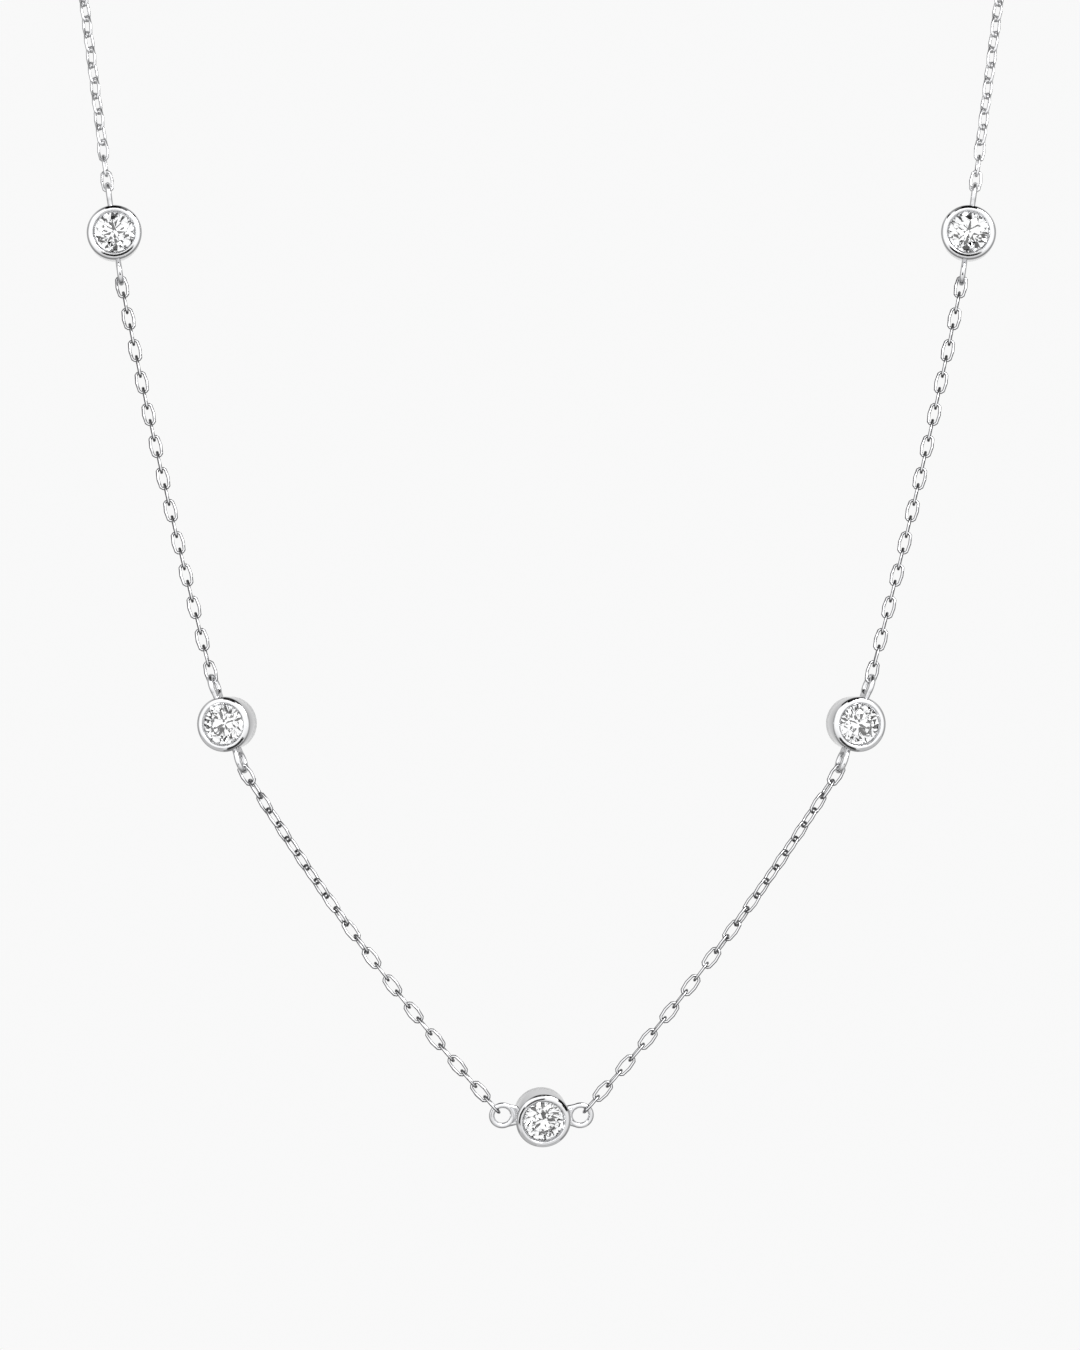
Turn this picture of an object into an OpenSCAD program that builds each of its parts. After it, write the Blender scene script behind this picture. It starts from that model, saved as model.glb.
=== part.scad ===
// Station necklace: five round diamonds in rubbed-over collars on a fine oval-link chain.
// It hangs in its worn form. The origin is the middle of the clasp, at the nape,
// the front faces -Y and the centre diamond is the lowest point.

/* [Diamonds] */
// Diameter of each stone at its girdle
stone_d = 3.8; // [3.6:0.05:3.9]
// Width of the table as a share of the stone's diameter
table_share = 0.57; // [0.52:0.01:0.62]
// Height of the crown as a share of the stone's diameter
crown_share = 0.15; // [0.13:0.01:0.16]
// Slope of the pavilion's main facets
pavilion_slope = 40.8; // [39:0.1:42]

/* [Settings] */
// Outer diameter of a collar at its rim
rim_d = 5.04; // [4.98:0.02:5.4]
// Outer diameter of a collar at its open back
base_d = 4.76; // [4.6:0.02:4.9]
// Height of a collar from rim to back
collar_h = 2.95; // [2.85:0.05:3.2]
// Rounding of the rim's outer edge
rim_round = 0.45; // [0.3:0.05:0.45]
// Distance from the collar's middle to the middle of a loop's hole
loop_reach = 3.54; // [3.45:0.01:3.7]
// Diameter of a loop's hole
loop_hole_d = 1.4; // [1.36:0.01:1.5]
// Thickness of a loop's wire
loop_wire = 0.52; // [0.44:0.01:0.54]

/* [Chain] */
// Distance from one joint of the chain to the next
link_pitch = 1.55; // [1.5:0.01:1.6]
// Outer width of a link
link_w = 1.22; // [1.2:0.01:1.3]
// Thickness of a link's wire
link_wire = 0.28; // [0.24:0.01:0.28]
// Clearance between linked pieces
link_gap = 0.13; // [0.12:0.01:0.15]

/* [Centre setting] */
// How far the centre diamond faces down
centre_tilt = 17; // [0:1:20]
// How far the centre diamond faces to the right
centre_yaw = 7; // [0:1:8]

/* [Clasp] */
// Diameter of the clasp's ring along the middle of its wire
clasp_d = 4.4; // [4:0.1:5]
// Thickness of the clasp's wire
clasp_wire = 0.7; // [0.6:0.05:0.9]

/* [Hidden] */
$fn = 48;
LEFT = -1;
RIGHT = 1;
METAL = [0.84, 0.85, 0.87];
DIAMOND = [0.88, 0.94, 0.98];

// Columns of the tables of the chain's run, one row wherever the run changes.
// Angles are worked out between the rows, and links count up from the run's lower end.
LINK = 0;     // links below this row
HEADING = 1;  // climb of the run above level, seen square to its plane
LEAN = 2;     // how far that plane leans back from upright
TWIST = 3;    // how far the links have turned about the run
inner_run = [
  [0, 47.6, 1, 98],
  [9, 52.2, 4, 98],
  [17, 55.7, 8, 45],
  [22, 57.8, 12, 45],
  [24, 58.5, 14, 12],
  [25, 58.8, 15, 12]
];
outer_run = [
  [0, 75.5, 14, 12],
  [3, 76, 14.2, 0],
  [25, 79.3, 19.2, 0]
];
back_run = [
  [0, 83, 23, 0],
  [3, 83, 23, 45],
  [12, 83, 24, 48],
  [26, 90, 52, 30],
  [64, 178.9, 60, 0],
  [65, 180, 60, 0]
];

// Columns of a setting's pose
POSE_HEADING = 0;  // climb of the line through both loops
POSE_LEAN = 1;     // lean of the plane that it climbs in
POSE_ROLL = 2;     // turn about that line, outwards
inner_pose = [70.5, 3, 17];
outer_pose = [82, 6, 0];

// Stone
girdle_share = 0.03;      // thickness of the girdle
lower_half_share = 0.23;  // how near the lower halves come to the culet
girdle_r = stone_d / 2;
girdle_half = girdle_share * stone_d / 2;
table_r = table_share * girdle_r;
crown_h = crown_share * stone_d;
crown_rise = crown_h / (girdle_r - table_r);
pavilion_rise = tan(pavilion_slope);
star_r = (table_r * cos(22.5) + girdle_r) / 2;
lower_half_r = lower_half_share * girdle_r;

// Collar, with height zero at its crest
girdle_depth = 0.5;       // girdle below the crest
stone_gap = 0.03;         // clearance round the stone
lip_cover = 0.11;         // lip over the stone's edge
lip_edge = 0.03;          // height of the lip's inner edge
bevel_w = 0.18;           // width of the bevel from the lip to the crest
seat_w = 0.35;            // ledge under the stone
base_edge = 0.1;          // bevel of the back's outer edge
front_loop_depth = 2;     // loops below the crest where they face the front
edge_loop_depth = 1.68;   // loops below the crest where they are seen edge on
rim_r = rim_d / 2;
base_r = base_d / 2;
lip_r = girdle_r - lip_cover;
crest_inner_r = lip_r + bevel_w;
bore_r = girdle_r - seat_w;

// Loops and links
loop_root = 2.05;         // start of a loop's legs inside the collar's wall
web_thick = 0.3;
web_half = 0.8;           // half width of the web
leg_slope = 14;           // how much a loop's legs close in towards the piece
leg_inset = 0.01;         // legs inside the surface of the ring's wire
web_setback = 0.06;       // web's hole outside the loop's own hole
loop_r = (loop_hole_d + loop_wire) / 2;
web_hole_r = loop_hole_d / 2 + web_setback;
link_r = (link_w - link_wire) / 2;
joint_half = (link_wire + link_gap) / 2;
link_half = link_pitch / 2 + joint_half;
loop_seat = (loop_wire + link_wire) / 2 + link_gap - joint_half;

// Clasp
clasp_lean = 60;
clasp_bite = 0.2;         // start of a loop's legs inside the ring's middle line
clasp_loop_gap = 0.05;    // metal between the ring and a loop's hole
clasp_root = clasp_d / 2 - clasp_bite;
clasp_reach = (clasp_d + clasp_wire + loop_hole_d) / 2 + clasp_loop_gap;

// Vectors
function unit(v) = v / norm(v);
function turn_x(v, a) = [v.x, v.y * cos(a) - v.z * sin(a), v.y * sin(a) + v.z * cos(a)];
function turn_y(v, a) = [v.x * cos(a) + v.z * sin(a), v.y, v.z * cos(a) - v.x * sin(a)];
function turn_z(v, a) = [v.x * cos(a) - v.y * sin(a), v.x * sin(a) + v.y * cos(a), v.z];

// A piece lies along X with its front towards -Y, then rolls, climbs and leans
function climb(side, heading) = side == RIGHT ? heading : 180 - heading;
function posed(v, side, heading, lean, roll) =
  turn_x(turn_y(turn_x(v, side * roll), -climb(side, heading)), -lean);
module posed(side, heading, lean, roll) {
  rotate([-lean, 0, 0])
    rotate([0, -climb(side, heading), 0])
      rotate([side * roll, 0, 0])
        children();
}

// The chain's run
function at(run, column, i) = lookup(i, [for (row = run) [row[LINK], row[column]]]);
function links(run) = run[len(run) - 1][LINK];
function direction(side, run, i) = posed([1, 0, 0], side, at(run, HEADING, i), at(run, LEAN, i), 0);
function joints(start, side, run) = [
  for (i = 0, p = start; i <= links(run); p = p + link_pitch * direction(side, run, i + 0.5), i = i + 1) p
];
function last(list) = list[len(list) - 1];
// Spreads a shift of the first and of the last joint over all of them
function spread(list, first_shift, last_shift) =
  let (n = len(list) - 1)
    [for (i = [0 : n]) list[i] + first_shift * (1 - i / n) + last_shift * i / n];

// Joint of a link that pulls along a direction on a loop with this hole and axis
function loop_joint(hole, axis, pull) =
  hole + loop_r * unit(pull - (pull * axis) * axis) - loop_seat * pull;

// Centre setting, whose yaw moves its two holes a little back and forth
function centre_hole(side, yaw) = turn_z([side * loop_reach, 0, 0], yaw);
function centre_axis(yaw) = turn_z(turn_x([0, -1, 0], centre_tilt), yaw);
function centre_joint(side, yaw) =
  loop_joint(centre_hole(side, yaw), centre_axis(yaw), direction(side, inner_run, 0));

// Settings that the chain runs through, from the joint below them
function pose_vector(v, side, pose) =
  posed(v, side, pose[POSE_HEADING], pose[POSE_LEAN], pose[POSE_ROLL]);
function reach_vector(side, pose) = loop_reach * pose_vector([1, 0, 0], side, pose);
function loop_axis(side, pose) = pose_vector([0, 0, 1], side, pose);
function setting_above(joint, side, pose, pull) =
  joint - loop_joint([0, 0, 0], loop_axis(side, pose), pull) + reach_vector(side, pose);
function joint_above(setting, side, pose, pull) =
  loop_joint(setting + reach_vector(side, pose), loop_axis(side, pose), pull);

// Clasp
function clasp_joint(side) =
  loop_joint([side * clasp_reach, 0, 0], posed([0, 0, 1], RIGHT, 0, clasp_lean, 0),
             -direction(side, back_run, links(back_run)));

// Places on one side, counted from the centre setting
function inner_joints(side) = joints(centre_joint(side, 0), side, inner_run);
function inner_place(side) =
  setting_above(last(inner_joints(side)), side, inner_pose, -direction(side, inner_run, links(inner_run)));
function outer_joints(side) =
  joints(joint_above(inner_place(side), side, inner_pose, direction(side, outer_run, 0)), side, outer_run);
function outer_place(side) =
  setting_above(last(outer_joints(side)), side, outer_pose, -direction(side, outer_run, links(outer_run)));
function back_joints(side) =
  joints(joint_above(outer_place(side), side, outer_pose, direction(side, back_run, 0)), side, back_run);
function closing_shift(side) = [clasp_joint(side).x - last(back_joints(side)).x, 0, 0];
nape = last(back_joints(RIGHT)) + closing_shift(RIGHT) - clasp_joint(RIGHT);

module link() {
  straight = 2 * (link_half - link_r);
  rotate([90, 0, 0]) {
    for (end = [0, 180])
      rotate([0, 0, end])
        translate([straight / 2, 0, 0])
          rotate([0, 0, -90])
            rotate_extrude(angle = 180)
              translate([link_r, 0]) circle(d = link_wire);
    for (edge = [-1, 1])
      translate([-straight / 2, edge * link_r, 0])
        rotate([0, 90, 0])
          cylinder(d = link_wire, h = straight);
  }
}

module chain(side, run, joint_list) {
  color(METAL)
    for (i = [0 : links(run) - 1])
      translate((joint_list[i] + joint_list[i + 1]) / 2 - nape)
        posed(side, at(run, HEADING, i + 0.5), at(run, LEAN, i + 0.5), 90 * i + at(run, TWIST, i))
          link();
}

module inner_chain(side) {
  yaw_shift = centre_joint(side, centre_yaw) - centre_joint(side, 0);
  chain(side, inner_run, spread(inner_joints(side), yaw_shift, [0, 0, 0]));
}

module outer_chain(side) {
  chain(side, outer_run, outer_joints(side));
}

module back_chain(side) {
  chain(side, back_run, spread(back_joints(side), [0, 0, 0], closing_shift(side)));
}

// Ring of round wire, with two legs and a web to the piece it is soldered to
module loop(root, reach) {
  leg = (reach - root - loop_r * sin(leg_slope)) / cos(leg_slope);
  translate([reach, 0, 0]) {
    rotate_extrude()
      translate([loop_r, 0]) circle(d = loop_wire);
    for (edge = [-1, 1])
      rotate([0, 0, edge * leg_slope])
        translate([0, edge * loop_r, 0])
          rotate([0, -90, 0])
            cylinder(d = loop_wire - 2 * leg_inset, h = leg);
  }
  linear_extrude(web_thick, center = true)
    difference() {
      translate([root, -web_half]) square([reach - root, 2 * web_half]);
      translate([reach, 0]) circle(web_hole_r);
    }
}

module loop_pair(root, reach) {
  for (turn = [0, 180])
    rotate([0, 0, turn]) loop(root, reach);
}

// Half section of the collar: rim, lip over the stone, seat and open back
module collar_section() {
  crown_at_lip = -girdle_depth + girdle_half + (girdle_r - lip_r) * crown_rise;
  crown_gap = stone_gap * norm([1, crown_rise]);
  pavilion_gap = stone_gap * norm([1, pavilion_rise]);
  seat_r = girdle_r + stone_gap;
  seat_top = -girdle_depth + girdle_half + crown_gap - stone_gap * crown_rise;
  seat_low = -girdle_depth - girdle_half - pavilion_gap;
  polygon([
    [bore_r, -collar_h],
    [base_r - base_edge, -collar_h],
    [base_r, -collar_h + base_edge],
    [rim_r, -rim_round],
    [rim_r - rim_round, 0],
    [crest_inner_r, 0],
    [lip_r, crown_at_lip + crown_gap + lip_edge],
    [lip_r, crown_at_lip + crown_gap],
    [seat_r, seat_top],
    [seat_r, seat_low + stone_gap * pavilion_rise],
    [bore_r, seat_low - (girdle_r - bore_r) * pavilion_rise]
  ]);
  translate([rim_r - rim_round, -rim_round])
    intersection() {
      circle(rim_round);
      square(rim_round);
    }
}

// Setting with its face towards +Z and its loops along X at height zero
module setting(loop_depth, loop_turn) {
  color(METAL) {
    translate([0, 0, loop_depth])
      rotate_extrude() collar_section();
    rotate([loop_turn, 0, 0]) loop_pair(loop_root, loop_reach);
  }
}

// Round brilliant: table, stars, kites, upper halves, girdle, lower halves, pavilion mains
module diamond() {
  function ring(n, start, r, z) =
    [for (k = [0 : n - 1]) let (a = start + k * 360 / n) [r * cos(a), r * sin(a), z]];
  star_z = girdle_half + (girdle_r - star_r * cos(22.5)) * crown_rise;
  lower_z = -girdle_half - (girdle_r - lower_half_r * cos(22.5)) * pavilion_rise;
  culet_z = -girdle_half - girdle_r * pavilion_rise;
  points = concat(
    ring(8, 0, table_r, girdle_half + crown_h),
    ring(8, 22.5, star_r, star_z),
    ring(16, 0, girdle_r, girdle_half),
    ring(16, 0, girdle_r, -girdle_half),
    ring(8, 22.5, lower_half_r, lower_z),
    [[0, 0, culet_z]]
  );
  function table(k) = k % 8;
  function star(k) = 8 + (k + 8) % 8;
  function upper(k) = 16 + k % 16;
  function lower(k) = 32 + k % 16;
  function inside(k) = 48 + (k + 8) % 8;
  culet = 56;
  eighths = [0 : 7];
  faces = concat(
    [[for (k = [7 : -1 : 0]) table(k)]],
    [for (k = eighths) [table(k), table(k + 1), star(k)]],
    [for (k = eighths) [table(k), star(k), upper(2 * k), star(k - 1)]],
    [for (k = eighths) [star(k), upper(2 * k + 1), upper(2 * k)]],
    [for (k = eighths) [star(k), upper(2 * k + 2), upper(2 * k + 1)]],
    [for (k = [0 : 15]) [upper(k), upper(k + 1), lower(k + 1), lower(k)]],
    [for (k = eighths) [inside(k), lower(2 * k), lower(2 * k + 1)]],
    [for (k = eighths) [inside(k), lower(2 * k + 1), lower(2 * k + 2)]],
    [for (k = eighths) [culet, inside(k - 1), lower(2 * k), inside(k)]]
  );
  color(DIAMOND) polyhedron(points, faces);
}

// Stone in its seat, in the setting's own frame
module seated_diamond(loop_depth) {
  translate([0, 0, loop_depth - girdle_depth]) diamond();
}

module centre_frame() {
  translate(-nape)
    rotate([centre_tilt, 0, centre_yaw])
      rotate([90, 0, 0])
        children();
}

module side_frame(side, place, pose) {
  translate(place - nape)
    posed(side, pose[POSE_HEADING], pose[POSE_LEAN], pose[POSE_ROLL])
      rotate([90, 0, 0])
        children();
}

module centre_setting() {
  centre_frame() setting(front_loop_depth, 0);
}

module centre_diamond() {
  centre_frame() seated_diamond(front_loop_depth);
}

module inner_setting(side) {
  side_frame(side, inner_place(side), inner_pose) setting(edge_loop_depth, 90);
}

module inner_diamond(side) {
  side_frame(side, inner_place(side), inner_pose) seated_diamond(edge_loop_depth);
}

module outer_setting(side) {
  side_frame(side, outer_place(side), outer_pose) setting(edge_loop_depth, 90);
}

module outer_diamond(side) {
  side_frame(side, outer_place(side), outer_pose) seated_diamond(edge_loop_depth);
}

module clasp() {
  color(METAL)
    posed(RIGHT, 0, clasp_lean, 0) {
      rotate_extrude() translate([clasp_d / 2, 0]) circle(d = clasp_wire);
      loop_pair(clasp_root, clasp_reach);
    }
}

centre_setting();
centre_diamond();
inner_setting(LEFT);  // left_inner_setting
inner_diamond(LEFT);  // left_inner_diamond
inner_setting(RIGHT);  // right_inner_setting
inner_diamond(RIGHT);  // right_inner_diamond
outer_setting(LEFT);  // left_outer_setting
outer_diamond(LEFT);  // left_outer_diamond
outer_setting(RIGHT);  // right_outer_setting
outer_diamond(RIGHT);  // right_outer_diamond
inner_chain(LEFT);  // left_inner_chain
inner_chain(RIGHT);  // right_inner_chain
outer_chain(LEFT);  // left_outer_chain
outer_chain(RIGHT);  // right_outer_chain
back_chain(LEFT);  // left_back_chain
back_chain(RIGHT);  // right_back_chain
clasp();
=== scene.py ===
"""Diamond station necklace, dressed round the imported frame.

Sizes are in millimetres until a piece is placed, and angles in degrees.
"""

import math

import bmesh
import bpy
import numpy as np
from mathutils import Matrix, Vector


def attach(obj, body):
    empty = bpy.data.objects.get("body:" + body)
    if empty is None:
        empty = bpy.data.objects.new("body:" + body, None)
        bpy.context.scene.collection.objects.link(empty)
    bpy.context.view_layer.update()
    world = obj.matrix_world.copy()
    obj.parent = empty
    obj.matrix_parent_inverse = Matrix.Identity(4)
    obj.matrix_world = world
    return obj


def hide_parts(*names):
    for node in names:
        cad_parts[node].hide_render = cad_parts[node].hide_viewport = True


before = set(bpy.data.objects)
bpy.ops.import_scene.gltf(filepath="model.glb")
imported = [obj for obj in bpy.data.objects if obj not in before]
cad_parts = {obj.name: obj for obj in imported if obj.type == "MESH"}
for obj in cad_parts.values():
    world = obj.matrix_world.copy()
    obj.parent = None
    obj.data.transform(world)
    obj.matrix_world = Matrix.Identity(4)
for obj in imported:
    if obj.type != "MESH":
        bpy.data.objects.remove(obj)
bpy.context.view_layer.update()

MM = 0.001
NEAR = 1e-4  # two places this close count as one
RING_NEAR = 2e-3  # the same across a ring of many straight edges
LEVEL = 0.9  # a face lies level if its normal rises at least this much
SMOOTH_ANGLE = 35

# Collar, with its heights measured from the crest
RIM_R = 2.52
BASE_R = 2.38
COLLAR_H = 2.95
COLLAR_SIDES = 96
RIM_ROUND = 0.45
ROUND_STEPS = 7
CREST_R = 1.97
CREST_EDGE = 0.05
LIP_R = 1.79
THROAT = [  # radius, height: lip, seat round the girdle, ledge and open back
    (LIP_R, -0.30),
    (LIP_R, -0.33),
    (1.93, -0.427),
    (1.93, -0.571),
    (1.55, -0.899),
    (1.55, -COLLAR_H),
]
BASE_EDGE = 0.1
EDGE_STEPS = 2

# Loops
LOOP_REACH = 3.54
LOOP_R = 0.96
LOOP_WIRE = 0.52
LOOP_ROOT = 2.05
LOOP_SIDES = 56
WIRE_SIDES = 16
WEB_THICK = 0.42
WEB_HALF = 0.62
WEB_HOLE_R = LOOP_R - 0.05
WEB_HOLE_SIDES = 40
WEB_HOLE_LONG = 2
LEG_SLOPE = 14
LEG_WIRE = 0.46

# Links
LINK_HALF = 0.98
LINK_R = 0.47
LINK_WIRE = 0.28
LINK_END_R = 0.44
LINK_SIDES = 12
LINK_WIRE_SIDES = 6
WELD = 1e-7  # metres within which a packed link's loose corners are joined

# Clasp
CLASP_R = 2.2
CLASP_WIRE = 0.695
CLASP_SIDES = 72
CLASP_REACH = 3.3
CLASP_ROOT = 2.0
CLASP_LEAN = 60

# Each setting has its place, its pose, the depth of its loops under the crest and their turn.
# A pose is the climb of the loops' line, the lean and the roll, and the centre has its own.
CENTRE_TILT = 17
CENTRE_YAW = 7
CENTRE_LOOPS = (2.0, 0)
SIDE_LOOPS = (1.68, 90)
SETTINGS = {"centre_setting": ((0, -67.389, -139.200), None, *CENTRE_LOOPS)}
for place, (across, front, height), pose in (
    ("inner", (28.258, -63.774, -103.960), (70.5, 3, 17)),
    ("outer", (38.619, -52.203, -59.693), (82, 6, 0)),
):
    for side, way in (("left", -1), ("right", 1)):
        SETTINGS[f"{side}_{place}_setting"] = ((way * across, front, height), pose, *SIDE_LOOPS)


# Making


def deselect():
    """Leaves edit mode with nothing selected."""
    if bpy.context.object and bpy.context.object.mode != "OBJECT":
        bpy.ops.object.mode_set(mode="OBJECT")
    bpy.ops.object.select_all(action="DESELECT")


def take(piece):
    """Selects one piece and makes it active."""
    deselect()
    piece.select_set(True)
    bpy.context.view_layer.objects.active = piece
    return piece


def edit(piece, kind):
    """Opens a piece in edit mode with nothing selected."""
    take(piece)
    bpy.ops.object.mode_set(mode="EDIT")
    bpy.ops.mesh.select_mode(type=kind)
    bpy.ops.mesh.select_all(action="DESELECT")


def pick(piece, parts, test):
    """Selects the vertices, edges or faces of the open mesh that pass the test."""
    bpy.ops.mesh.select_all(action="DESELECT")
    mesh = bmesh.from_edit_mesh(piece.data)
    found = 0
    for part in getattr(mesh, parts):
        if test(part):
            part.select_set(True)
            found += 1
    mesh.select_flush_mode()
    bmesh.update_edit_mesh(piece.data)
    assert found, f"nothing picked on {piece.name}"


def done(piece):
    """Closes a piece."""
    bpy.ops.object.mode_set(mode="OBJECT")
    return piece


def on_ring(radius, height):
    """Test for the edges of a level ring round Z."""

    def test(edge):
        return all(
            abs(v.co.z - height) < NEAR and abs(v.co.xy.length - radius) < RING_NEAR
            for v in edge.verts
        )

    return test


def combine(body, other, operation):
    """Melts another piece into a body, or cuts it out of the body, and removes it."""
    take(body)
    change = body.modifiers.new("change", "BOOLEAN")
    change.operation, change.solver, change.object = operation, "EXACT", other
    change.material_mode = "TRANSFER"
    bpy.ops.object.modifier_apply(modifier=change.name)
    bpy.data.objects.remove(other)


def smooth(piece):
    """Shades a piece smooth across all but its sharp edges."""
    take(piece)
    bpy.ops.object.shade_smooth_by_angle(angle=math.radians(SMOOTH_ANGLE))


def apply_place(piece):
    """Puts a piece's place, turn and size into its mesh."""
    take(piece)
    bpy.ops.object.transform_apply(location=True, rotation=True, scale=True)


def settle(piece, matrix):
    """Moves a piece and puts its new place into its mesh."""
    piece.matrix_world = matrix
    apply_place(piece)
    return piece


def copy_of(piece, name):
    """Copy of a piece, with a mesh of its own."""
    twin = piece.copy()
    twin.data = piece.data.copy()
    twin.name = twin.data.name = name
    bpy.context.collection.objects.link(twin)
    return twin


def scaled(place, turn):
    """Matrix that turns a piece made in millimetres and moves it to a place in millimetres."""
    return Matrix.Translation(Vector(place) * MM) @ turn.to_4x4() @ Matrix.Scale(MM, 4)


def turned(angle, axis):
    """Turn of some degrees round an axis."""
    return Matrix.Rotation(math.radians(angle), 3, axis)


def posed(side, heading, lean, roll):
    """Turn of a piece that lies along X, then rolls, climbs and leans."""
    climb = heading if side > 0 else 180 - heading
    return turned(-lean, "X") @ turned(-climb, "Y") @ turned(side * roll, "X")


def wire_ring(radius, wire, sides, wire_sides=WIRE_SIDES, place=(0, 0, 0)):
    """Ring of round wire that lies flat."""
    bpy.ops.mesh.primitive_torus_add(
        major_radius=radius,
        minor_radius=wire / 2,
        major_segments=sides,
        minor_segments=wire_sides,
        location=place,
    )
    return bpy.context.object


# Collar and loops


def make_collar(depth, metal):
    """Tapered cup with a rounded rim, a bevel down to the lip, a seat and an open back."""
    bpy.ops.mesh.primitive_cylinder_add(
        vertices=COLLAR_SIDES, radius=RIM_R, depth=COLLAR_H, location=(0, 0, depth - COLLAR_H / 2)
    )
    cup = bpy.context.object
    apply_place(cup)
    back = depth - COLLAR_H

    edit(cup, "VERT")
    pick(cup, "verts", lambda v: abs(v.co.z - back) < NEAR)
    shrink = BASE_R / RIM_R
    bpy.ops.transform.resize(value=(shrink, shrink, 1), center_override=(0, 0, back))

    bpy.ops.mesh.select_mode(type="FACE")
    pick(cup, "faces", lambda f: f.normal.z > LEVEL)
    bpy.ops.mesh.inset(thickness=RIM_R - CREST_R, depth=0)
    radius, height = CREST_R, 0
    for next_radius, next_height in THROAT:
        bpy.ops.mesh.extrude_region_move(
            TRANSFORM_OT_translate={"value": (0, 0, next_height - height)}
        )
        share = next_radius / radius
        bpy.ops.transform.resize(value=(share, share, 1), center_override=(0, 0, depth))
        radius, height = next_radius, next_height
    bpy.ops.mesh.delete(type="ONLY_FACE")
    pick(cup, "faces", lambda f: f.normal.z < -LEVEL and len(f.verts) == COLLAR_SIDES)
    bpy.ops.mesh.delete(type="ONLY_FACE")
    bpy.ops.mesh.select_mode(type="EDGE")
    pick(cup, "edges", lambda e: e.is_boundary)
    bpy.ops.mesh.bridge_edge_loops()

    for radius, height, width, steps in (
        (RIM_R, depth, RIM_ROUND, ROUND_STEPS),
        (CREST_R, depth, CREST_EDGE, EDGE_STEPS),
        (BASE_R, back, BASE_EDGE, EDGE_STEPS),
    ):
        pick(cup, "edges", on_ring(radius, height))
        bpy.ops.mesh.bevel(offset=width, segments=steps, affect="EDGES")
    cup.data.materials.append(metal)
    return done(cup)


def make_leg(way, root, reach):
    """Straight wire from the side of a loop's ring towards the collar."""
    angle = math.radians(LEG_SLOPE)
    length = (reach - root - LOOP_R * math.sin(angle)) / math.cos(angle)
    bpy.ops.mesh.primitive_cylinder_add(
        vertices=WIRE_SIDES,
        radius=LEG_WIRE / 2,
        depth=length,
        location=(-length / 2, way * LOOP_R, 0),
        rotation=(0, math.pi / 2, 0),
    )
    leg = bpy.context.object
    apply_place(leg)
    swing = Matrix.Rotation(way * angle, 4, "Z")
    return settle(leg, Matrix.Translation((reach, 0, 0)) @ swing)


def make_web(root, reach):
    """Flat plate between a loop's legs, cut out round the loop's hole."""
    middle = ((root + reach) / 2, 0, 0)
    bpy.ops.mesh.primitive_cube_add(size=1, location=middle)
    web = bpy.context.object
    edit(web, "FACE")
    bpy.ops.mesh.select_all(action="SELECT")
    bpy.ops.transform.resize(
        value=(reach - root, 2 * WEB_HALF, WEB_THICK), center_override=middle
    )
    apply_place(done(web))
    bpy.ops.mesh.primitive_cylinder_add(
        vertices=WEB_HOLE_SIDES, radius=WEB_HOLE_R, depth=WEB_HOLE_LONG, location=(reach, 0, 0)
    )
    combine(web, bpy.context.object, "DIFFERENCE")
    return web


def make_loop(root, reach, metal):
    """Ring of round wire, with the legs and the web that solder it on."""
    wire = wire_ring(LOOP_R, LOOP_WIRE, LOOP_SIDES, place=(reach, 0, 0))
    apply_place(wire)
    for solder in (make_web(root, reach), make_leg(1, root, reach), make_leg(-1, root, reach)):
        combine(wire, solder, "UNION")
    wire.data.materials.append(metal)
    return wire


def make_loop_pair(root, reach, metal):
    """Two loops, one each way along X."""
    first = make_loop(root, reach, metal)
    second = settle(copy_of(first, "second_loop"), Matrix.Rotation(math.pi, 4, "Z"))
    return first, second


def make_setting(depth, loop_turn, metals):
    """Collar with its two loops soldered on, in one body."""
    collar = make_collar(depth, metals[0])
    for loop in make_loop_pair(LOOP_ROOT, LOOP_REACH, metals[1]):
        combine(collar, settle(loop, Matrix.Rotation(math.radians(loop_turn), 4, "X")), "UNION")
    smooth(collar)
    return collar


def setting_turn(name):
    """Turn of a setting whose loops lie along X and whose stone faces the front."""
    place, pose = SETTINGS[name][:2]
    if pose is None:
        return turned(CENTRE_YAW, "Z") @ turned(CENTRE_TILT, "X")
    return posed(-1 if place[0] < 0 else 1, *pose)


def dress_settings(metals):
    """Sets a copy of the model with the right loops in the place of each packed setting."""
    models = {}
    for name, (place, pose, depth, loop_turn) in SETTINGS.items():
        if depth not in models:
            models[depth] = make_setting(depth, loop_turn, metals)
        piece = copy_of(models[depth], name.replace("setting", "collar"))
        settle(piece, scaled(place, setting_turn(name) @ turned(90, "X")))
        finish_piece(piece, "white_metal", name)
    for model in models.values():
        bpy.data.objects.remove(model)


def finish_piece(piece, slot, *nodes):
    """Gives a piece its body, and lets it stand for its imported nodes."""
    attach(piece, "root")
    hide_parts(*nodes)


# Chains


def make_link():
    """Oval link of round wire along X, a little fuller at its middle."""
    link = wire_ring(LINK_END_R, LINK_WIRE, LINK_SIDES, LINK_WIRE_SIDES)
    edit(link, "VERT")
    stretch = LINK_HALF - LINK_END_R
    for way in (-1, 1):
        pick(link, "verts", lambda v: v.co.x * way > NEAR)
        bpy.ops.transform.translate(value=(way * stretch, 0, 0))
    for way in (-1, 1):
        pick(link, "verts", lambda v: v.co.y * way > NEAR and abs(v.co.x) < NEAR)
        bpy.ops.transform.translate(value=(0, way * (LINK_R - LINK_END_R), 0))
    done(link)
    take(link)
    bpy.ops.object.shade_smooth()
    return link


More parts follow.
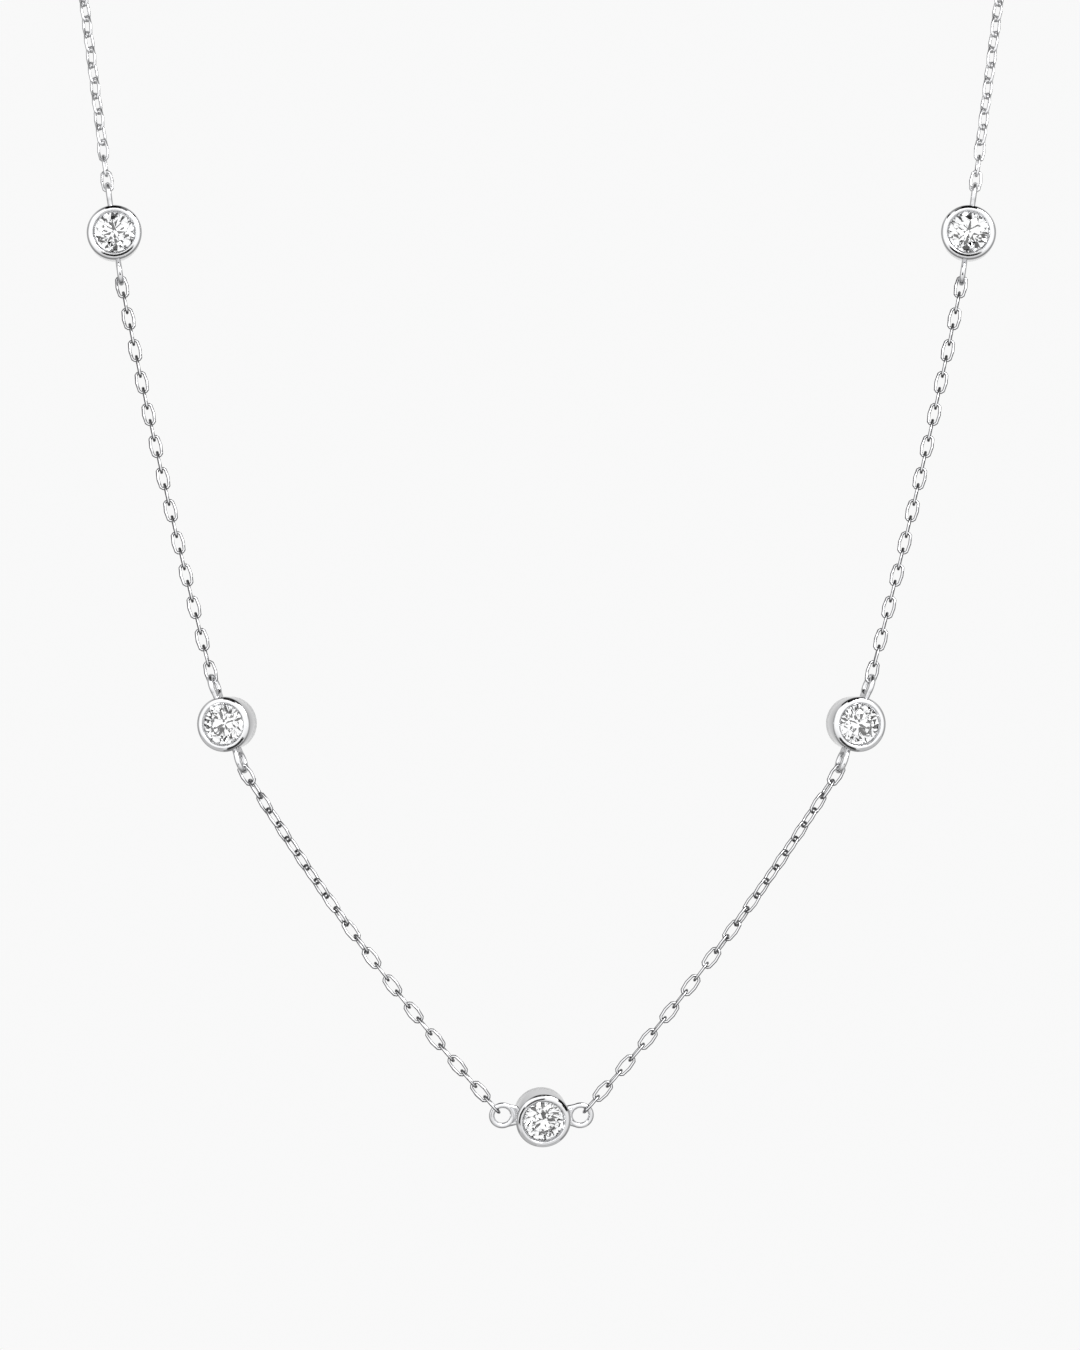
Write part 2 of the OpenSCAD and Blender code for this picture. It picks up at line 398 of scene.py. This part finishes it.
def link_places(node):
    """Turn and middle of every link of a packed chain, read from its loose solids."""
    packed = copy_of(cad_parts[node], "packed_links")
    packed.parent = None
    edit(packed, "VERT")
    bpy.ops.mesh.select_all(action="SELECT")
    bpy.ops.mesh.remove_doubles(threshold=WELD)
    bpy.ops.mesh.separate(type="LOOSE")
    done(packed)
    places = []
    for solid in list(bpy.context.selected_objects):
        points = np.empty(len(solid.data.vertices) * 3)
        solid.data.vertices.foreach_get("co", points)
        points = points.reshape(-1, 3)
        middle = (points.min(0) + points.max(0)) / 2
        axes = np.linalg.svd(points - points.mean(0), full_matrices=False)[2]
        along, normal = Vector(axes[0]), Vector(axes[2])
        places.append((Vector(middle), Matrix((along, normal.cross(along), normal)).transposed()))
        bpy.data.objects.remove(solid)
    return places


def dress_chains(metal, back_metal):
    """Lays a link in the place of each packed one, and joins each chain's links."""
    model = make_link()
    model.data.materials.append(metal)
    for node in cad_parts:
        if not node.endswith("_chain"):
            continue
        links = []
        for middle, turn in link_places(node):
            link = copy_of(model, "link")
            link.matrix_world = scaled(middle / MM, turn)
            links.append(link)
        deselect()
        for link in links:
            link.select_set(True)
        bpy.context.view_layer.objects.active = links[0]
        bpy.ops.object.transform_apply(location=True, rotation=True, scale=True)
        bpy.ops.object.join()
        chain = bpy.context.object
        chain.name = chain.data.name = node.replace("_chain", "_links")
        # The back chains get the links' metal with less painted shade
        if "_back_" in node:
            chain.data.materials[0] = back_metal
        finish_piece(chain, "white_metal", node)
    bpy.data.objects.remove(model)


# Clasp


def dress_clasp(metals):
    """Plain ring with a soldered loop each side."""
    clasp = wire_ring(CLASP_R, CLASP_WIRE, CLASP_SIDES)
    clasp.data.materials.append(metals[0])
    for loop in make_loop_pair(CLASP_ROOT, CLASP_REACH, metals[1]):
        combine(clasp, loop, "UNION")
    smooth(clasp)
    clasp.name = clasp.data.name = "clasp_ring"
    settle(clasp, scaled((0, 0, 0), turned(-CLASP_LEAN, "X")))
    finish_piece(clasp, "white_metal", "clasp")


# Materials

BLACK = (0, 0, 0, 1)
METAL_TINTS = ((0.93, 0.93, 0.94, 1), (0.84, 0.845, 0.86, 1))
# Painted shade: the dark tone mixed into metal where it turns away from the eye
PAINTED_SHADE_TONE = (0.10, 0.10, 0.105, 1)
CLOUD_DETAIL = 3
SCRATCHES = {"Detail": 6, "Roughness": 0.7}
SCRATCH_FINER = 7  # scratches to a cloud
SCRATCH_RANGE = (0.35, 0.65)
MARK_DEPTH = 0.00001  # metres
# Each metal has its polish, and its painted shade, standing in for dark reflections: the turn away
# from the eye at which that starts, at which it ends, and how much.
POLISH_INPUTS = ("Grain Scale", "Smooth", "Rough", "Marks")
METALS = {
    "polished_collar": ((700, 0.04, 0.10, 0.10), (0.3, 0.7, 0.4)),
    "polished_loops": ((900, 0.05, 0.12, 0.10), (0.08, 0.20, 0.95)),
    "polished_links": ((1100, 0.06, 0.14, 0.12), (0.04, 0.14, 0.85)),
    # The back links' metal is the links' metal with less painted shade
    "polished_back_links_less_painted_shade": ((1100, 0.06, 0.14, 0.12), (0.06, 0.2, 0.3)),
}
DIAMOND_IOR = 2.42
STONE_CLOUDS = 700
STONE_TINTS = ((1, 1, 1, 1), (0.97, 0.985, 1, 1))


def new_material(name):
    """New material, and its shader."""
    material = bpy.data.materials.new(name)
    material.use_nodes = True
    return material, material.node_tree.nodes["Principled BSDF"]


def feed(tree, node, inputs):
    """Gives a node's inputs values, or links other nodes' outputs to them."""
    for name, value in inputs.items():
        if isinstance(value, bpy.types.NodeSocket):
            tree.links.new(value, node.inputs[name])
        else:
            node.inputs[name].default_value = value
    return node


def mix(tree, first, second, factor=1, blend="MIX"):
    """Mixes two colours."""
    made = tree.nodes.new("ShaderNodeMix")
    made.data_type = "RGBA"
    made.blend_type = blend
    return feed(tree, made, {"Factor": factor, "A": first, "B": second}).outputs["Result"]


def span(tree, value, start, end, low=0, high=1):
    """Runs from low to high while a value runs from start to end."""
    made = tree.nodes.new("ShaderNodeMapRange")
    inputs = {"Value": value, "From Min": start, "From Max": end, "To Min": low, "To Max": high}
    return feed(tree, made, inputs).outputs["Result"]


def calculate(tree, operation, *values):
    """One step of arithmetic."""
    made = tree.nodes.new("ShaderNodeMath")
    made.operation = operation
    return feed(tree, made, dict(enumerate(values))).outputs[0]


def noise(tree, inputs):
    """Noise that is fixed to a piece."""
    place = tree.nodes.new("ShaderNodeTexCoord")
    made = tree.nodes.new("ShaderNodeTexNoise")
    return feed(tree, made, {"Vector": place.outputs["Object"], **inputs}).outputs["Fac"]


def polish_group():
    """Fine marks of polishing: a tone, a roughness and a normal."""
    group = bpy.data.node_groups.new("polish_marks", "ShaderNodeTree")
    for name in POLISH_INPUTS:
        group.interface.new_socket(name, in_out="INPUT", socket_type="NodeSocketFloat")
    for name, kind in (
        ("Tone", "NodeSocketColor"),
        ("Roughness", "NodeSocketFloat"),
        ("Normal", "NodeSocketVector"),
    ):
        group.interface.new_socket(name, in_out="OUTPUT", socket_type=kind)
    given = group.nodes.new("NodeGroupInput").outputs
    leave = group.nodes.new("NodeGroupOutput")
    clouds = noise(group, {"Scale": given["Grain Scale"], "Detail": CLOUD_DETAIL})
    finer = calculate(group, "MULTIPLY", given["Grain Scale"], SCRATCH_FINER)
    scratches = noise(group, {"Scale": finer, **SCRATCHES})
    rough = span(group, scratches, *SCRATCH_RANGE, given["Smooth"], given["Rough"])
    tone = mix(group, *METAL_TINTS, clouds)
    bump = group.nodes.new("ShaderNodeBump")
    feed(group, bump, {"Distance": MARK_DEPTH, "Strength": given["Marks"], "Height": clouds})
    feed(group, leave, {"Tone": tone, "Roughness": rough, "Normal": bump.outputs["Normal"]})
    return group


def metal_material(name, polish):
    """Polished white metal, with painted shade where it turns away from the eye."""
    marks, (start, end, most) = METALS[name]
    material, shader = new_material(name)
    tree = material.node_tree
    finish = tree.nodes.new("ShaderNodeGroup")
    finish.node_tree = polish
    feed(tree, finish, dict(zip(POLISH_INPUTS, marks)))
    turning = tree.nodes.new("ShaderNodeLayerWeight")
    # Painted shade at the edges, standing in for dark reflections
    painted_shade_amount = span(tree, turning.outputs["Facing"], start, end, 0, most)
    inputs = {
        "Metallic": 1,
        "Base Color": mix(tree, finish.outputs["Tone"], PAINTED_SHADE_TONE, painted_shade_amount),
        "Roughness": finish.outputs["Roughness"],
        "Normal": finish.outputs["Normal"],
    }
    feed(tree, shader, inputs)
    return material


def stone_material():
    """Clear cut diamond, with the faintest change of tint through the stone."""
    material, shader = new_material("cut_diamond")
    tree = material.node_tree
    inputs = {
        "Transmission Weight": 1,
        "Roughness": 0,
        "IOR": DIAMOND_IOR,
        "Base Color": mix(tree, *STONE_TINTS, noise(tree, {"Scale": STONE_CLOUDS})),
    }
    feed(tree, shader, inputs)
    return material


def dress_stones(material):
    """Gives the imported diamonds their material."""
    for name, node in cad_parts.items():
        if name.endswith("_diamond"):
            node.data.materials.clear()
            node.data.materials.append(material)


# Studio

LOOK_AT = (-0.126, -67, -99.58)
CAMERA_AWAY = 3000
VIEW_H = 121.5  # height of the view at the necklace
SENSOR = 36
CLIP_END = 20  # metres
FLOOR_Z = -200
FLOOR_R = 1200
FLOOR_SIDES = 96
FLOOR_TONE = 0.9
FLOOR_ROUGHNESS = 0.8
GROUND_TONE = 0.945
SOFTBOX_AT = (500, -600, 500)
SOFTBOX_SIZE = 500
SOFTBOX_WATTS = 6
CARD_AWAY = 150
CARD_SIDES = (96, 48)  # round the sphere that a rim's card is cut from, and up it
CARD_SEEN = (149.9, 0.45)  # distance from which a rim's card shows, and how much more or less
CEILING_SEEN = (230, 100)  # the same for the ceiling, so that pieces just under it see past it
CEILING_TONE = 0.03
CEILING_ACROSS = (10, 77)  # to each side
CEILING_DEPTH = (-130, 0)
CEILING_Z = 40
# Cards seen in a rim's rounding: setting, two clock angles, two slopes of the rounding, tone.
# Those of the left settings are mirrored for the right ones.
RIM_CARDS = [
    ("centre_setting", 31, 48, 30, 68, 0.004),
    ("centre_setting", 46, 66, 18, 54, 0.004),
    ("centre_setting", -95, -50, 10, 32, 0.06),
    ("centre_setting", -50, 3, 2, 20, 0.10),
    ("centre_setting", 140, 195, 24, 75, 0.62),
    ("centre_setting", 195, 245, 10, 75, 0.5),
    ("left_inner_setting", 2, 31, 24, 60, 0.004),
    ("left_inner_setting", 120, 172, 12, 38, 0.04),
    ("left_inner_setting", 180, 245, 10, 75, 0.55),
    ("left_outer_setting", -21, 16, 15, 52, 0.004),
    ("left_outer_setting", 16, 32, 15, 30, 0.02),
    ("left_outer_setting", 125, 215, -6, 22, 0.02),
]
# Brightness of the surroundings, from the camera's side, 0, to straight behind the necklace, 1
TENT = [(0, 1.05), (0.22, 1.05), (0.4, 0.6), (0.55, 0.3), (0.7, 0.4), (0.85, 0.6), (1, 0.8)]
# How much of it there is, from straight below, 0, to straight above, 1
HEIGHTS = [(0.1, 0.67), (0.45, 1.08), (0.65, 1.08), (0.82, 1.52), (0.9, 0.9), (0.97, 0.35)]
# Dark parts of the surroundings that the stones see, from the camera's side, 0, to behind, 1
DARK_BANDS = [
    (0.005, 0.009), (0.020, 0.025), (0.038, 0.044), (0.060, 0.066), (0.080, 0.087), (0.098, 0.105),
    (0.118, 0.124), (0.137, 0.146), (0.165, 0.177), (0.205, 0.22), (0.25, 0.267), (0.31, 0.33),
    (0.39, 0.415), (0.49, 0.52), (0.62, 0.66),
]
# The same from the left, 0, to the right, 1
SIDE_BANDS = [
    (0.10, 0.12), (0.21, 0.225), (0.31, 0.322), (0.40, 0.41), (0.455, 0.463), (0.535, 0.543),
    (0.60, 0.61), (0.69, 0.702), (0.79, 0.805), (0.89, 0.91),
]
SPARKLE = 1.3  # brightness between those bands


def grey(tone):
    """Opaque grey."""
    return (tone, tone, tone, 1)


def set_camera():
    """Camera straight in front of the necklace."""
    data = bpy.data.cameras.new("camera")
    data.sensor_width = SENSOR
    data.lens = SENSOR * CAMERA_AWAY / VIEW_H
    data.clip_end = CLIP_END
    camera = bpy.data.objects.new("camera", data)
    bpy.context.collection.objects.link(camera)
    camera.location = Vector((LOOK_AT[0], LOOK_AT[1] - CAMERA_AWAY, LOOK_AT[2])) * MM
    camera.rotation_euler = (math.radians(90), 0, 0)
    bpy.context.scene.camera = camera


def lay_floor():
    """Pale floor that neither the metal nor the stones show."""
    bpy.ops.mesh.primitive_circle_add(
        vertices=FLOOR_SIDES,
        radius=FLOOR_R * MM,
        fill_type="NGON",
        location=(0, 0, FLOOR_Z * MM),
    )
    floor = bpy.context.object
    floor.name = "floor"
    material, shader = new_material("pale_floor")
    look = {"Base Color": grey(FLOOR_TONE), "Roughness": FLOOR_ROUGHNESS}
    feed(material.node_tree, shader, look)
    floor.data.materials.append(material)
    floor.visible_glossy = floor.visible_transmission = False


def ramp(tree, value, stops, kind):
    """Grey tones that follow a value, in slopes or in steps."""
    made = tree.nodes.new("ShaderNodeValToRGB")
    band = made.color_ramp
    band.interpolation = kind
    band.elements.remove(band.elements[-1])
    start, tone = stops[0]
    band.elements[0].position = start
    band.elements[0].color = grey(tone)
    for where, tone in stops[1:]:
        band.elements.new(where).color = grey(tone)
    return feed(tree, made, {"Fac": value}).outputs["Color"]


def striped(bands, bright):
    """Stops of a ramp that is black within the bands and bright between them."""
    return [(0, bright)] + [edge for start, end in bands for edge in ((start, 0), (end, bright))]


def light_world():
    """White tent in front that greys towards the back, with its own surroundings for the stones."""
    world = bpy.data.worlds.new("studio")
    bpy.context.scene.world = world
    world.use_nodes = True
    tree = world.node_tree
    place = tree.nodes.new("ShaderNodeTexCoord")
    parts = tree.nodes.new("ShaderNodeSeparateXYZ")
    tree.links.new(place.outputs["Generated"], parts.inputs["Vector"])
    side, depth, height = (span(tree, parts.outputs[axis], -1, 1) for axis in "XYZ")
    tent = mix(
        tree,
        ramp(tree, depth, TENT, "LINEAR"),
        ramp(tree, height, HEIGHTS, "LINEAR"),
        blend="MULTIPLY",
    )
    sparkle = mix(
        tree,
        ramp(tree, depth, striped(DARK_BANDS, SPARKLE), "CONSTANT"),
        ramp(tree, side, striped(SIDE_BANDS, 1), "CONSTANT"),
        blend="MULTIPLY",
    )
    seen = tree.nodes.new("ShaderNodeLightPath")
    behind_stones = mix(tree, tent, sparkle, seen.outputs["Is Transmission Ray"])
    shown = mix(tree, behind_stones, grey(GROUND_TONE), seen.outputs["Is Camera Ray"])
    feed(tree, tree.nodes["Background"], {"Color": shown})


def card_material(tone, away, slack):
    """Even tone that shows only from about one distance, and lets all nearer pieces see past it."""
    material, shader = new_material(f"card_{round(1000 * tone)}")
    tree = material.node_tree
    inputs = {
        "Base Color": BLACK,
        "Specular IOR Level": 0,
        "Emission Color": grey(tone),
        "Emission Strength": 1,
    }
    feed(tree, shader, inputs)
    path = tree.nodes.new("ShaderNodeLightPath")
    own = calculate(tree, "COMPARE", path.outputs["Ray Length"], away * MM, slack * MM)
    clear = tree.nodes.new("ShaderNodeBsdfTransparent")
    choice = tree.nodes.new("ShaderNodeMixShader")
    feed(tree, choice, {0: own, 1: clear.outputs[0], 2: shader.outputs[0]})
    feed(tree, tree.nodes["Material Output"], {"Surface": choice.outputs[0]})
    return material


def finish_card(card, material):
    """Lets only reflections in metal see a card."""
    card.visible_camera = card.visible_shadow = card.visible_transmission = False
    card.data.materials.append(material)


def add_ceiling_card(side, way, material):
    """Flat card over the chains of one side."""
    near, far = (way * across for across in CEILING_ACROSS)
    front, back = CEILING_DEPTH
    corners = [(near, front), (far, front), (far, back), (near, back)]
    bpy.ops.mesh.primitive_plane_add(size=2)
    card = bpy.context.object
    card.name = side + "_ceiling_card"
    edit(card, "VERT")
    for start, corner in zip(((-1, -1), (1, -1), (1, 1), (-1, 1)), corners):
        start, corner = Vector((*start, 0)), Vector((*corner, CEILING_Z))
        pick(card, "verts", lambda v: (v.co - start).length < NEAR)
        bpy.ops.transform.translate(value=corner - start)
    done(card)
    finish_card(settle(card, Matrix.Scale(MM, 4)), material)


def facing_of(setting):
    """Direction in which a setting's stone faces."""
    return setting_turn(setting) @ Vector((0, -1, 0))


def rim_point(setting, clock, slope):
    """Place on the rounding of a rim."""
    place, depth = Vector(SETTINGS[setting][0]), SETTINGS[setting][2]
    facing = facing_of(setting)
    clock, slope = math.radians(clock), math.radians(slope)
    out = Vector((math.sin(clock), 0, math.cos(clock)))
    out = (out - out.dot(facing) * facing).normalized()
    normal = math.cos(slope) * facing + math.sin(slope) * out
    return place + depth * facing - RIM_ROUND * (facing - normal) + (RIM_R - RIM_ROUND) * out


def add_rim_card(setting, clocks, slopes, material):
    """Part of a far sphere that the rounding of a rim mirrors to the camera."""
    facing = facing_of(setting)

    def within(clock, slope):
        around = (clock - clocks[0]) % 360 <= clocks[1] - clocks[0]
        return around and slopes[0] <= slope <= slopes[1]

    def outside(face):
        normal = (face.calc_center_median().normalized() - Vector((0, 1, 0))).normalized()
        out = normal - facing * (normal.y / facing.y)
        clock = math.degrees(math.atan2(out.x, out.z))
        slope = math.degrees(facing.angle(normal))
        return not (within(clock, slope) or within(clock + 180, -slope))

    around, up = CARD_SIDES
    bpy.ops.mesh.primitive_uv_sphere_add(segments=around, ring_count=up, radius=CARD_AWAY)
    card = bpy.context.object
    card.name = setting.replace("setting", "card")
    edit(card, "FACE")
    pick(card, "faces", outside)
    bpy.ops.mesh.delete(type="FACE")
    done(card)
    middle = rim_point(setting, sum(clocks) / 2, sum(slopes) / 2)
    finish_card(settle(card, scaled(middle, Matrix.Identity(3))), material)


def add_cards():
    """Dark ceiling cards, and the cards seen in the rims."""
    dark = card_material(CEILING_TONE, *CEILING_SEEN)
    for side, way in (("left", -1), ("right", 1)):
        add_ceiling_card(side, way, dark)
    tones = {}
    for setting, first, last, low, high, tone in RIM_CARDS:
        if tone not in tones:
            tones[tone] = card_material(tone, *CARD_SEEN)
        add_rim_card(setting, (first, last), (low, high), tones[tone])
        if setting.startswith("left"):
            twin = setting.replace("left", "right")
            add_rim_card(twin, (-last, -first), (low, high), tones[tone])


def add_softbox():
    """Square soft light, aimed at the necklace."""
    data = bpy.data.lights.new("key_softbox", "AREA")
    data.size = SOFTBOX_SIZE * MM
    data.energy = SOFTBOX_WATTS
    lamp = bpy.data.objects.new("key_softbox", data)
    bpy.context.collection.objects.link(lamp)
    lamp.location = Vector(SOFTBOX_AT) * MM
    aim = Vector(LOOK_AT) * MM - lamp.location
    lamp.rotation_euler = aim.to_track_quat("-Z", "Y").to_euler()


set_camera()
lay_floor()
light_world()
add_softbox()
add_cards()

polish = polish_group()
metals = {name: metal_material(name, polish) for name in METALS}
setting_metals = (metals["polished_collar"], metals["polished_loops"])
dress_settings(setting_metals)
dress_chains(metals["polished_links"], metals["polished_back_links_less_painted_shade"])
dress_clasp(setting_metals)
dress_stones(stone_material())

bpy.context.scene.view_settings.view_transform = "Standard"
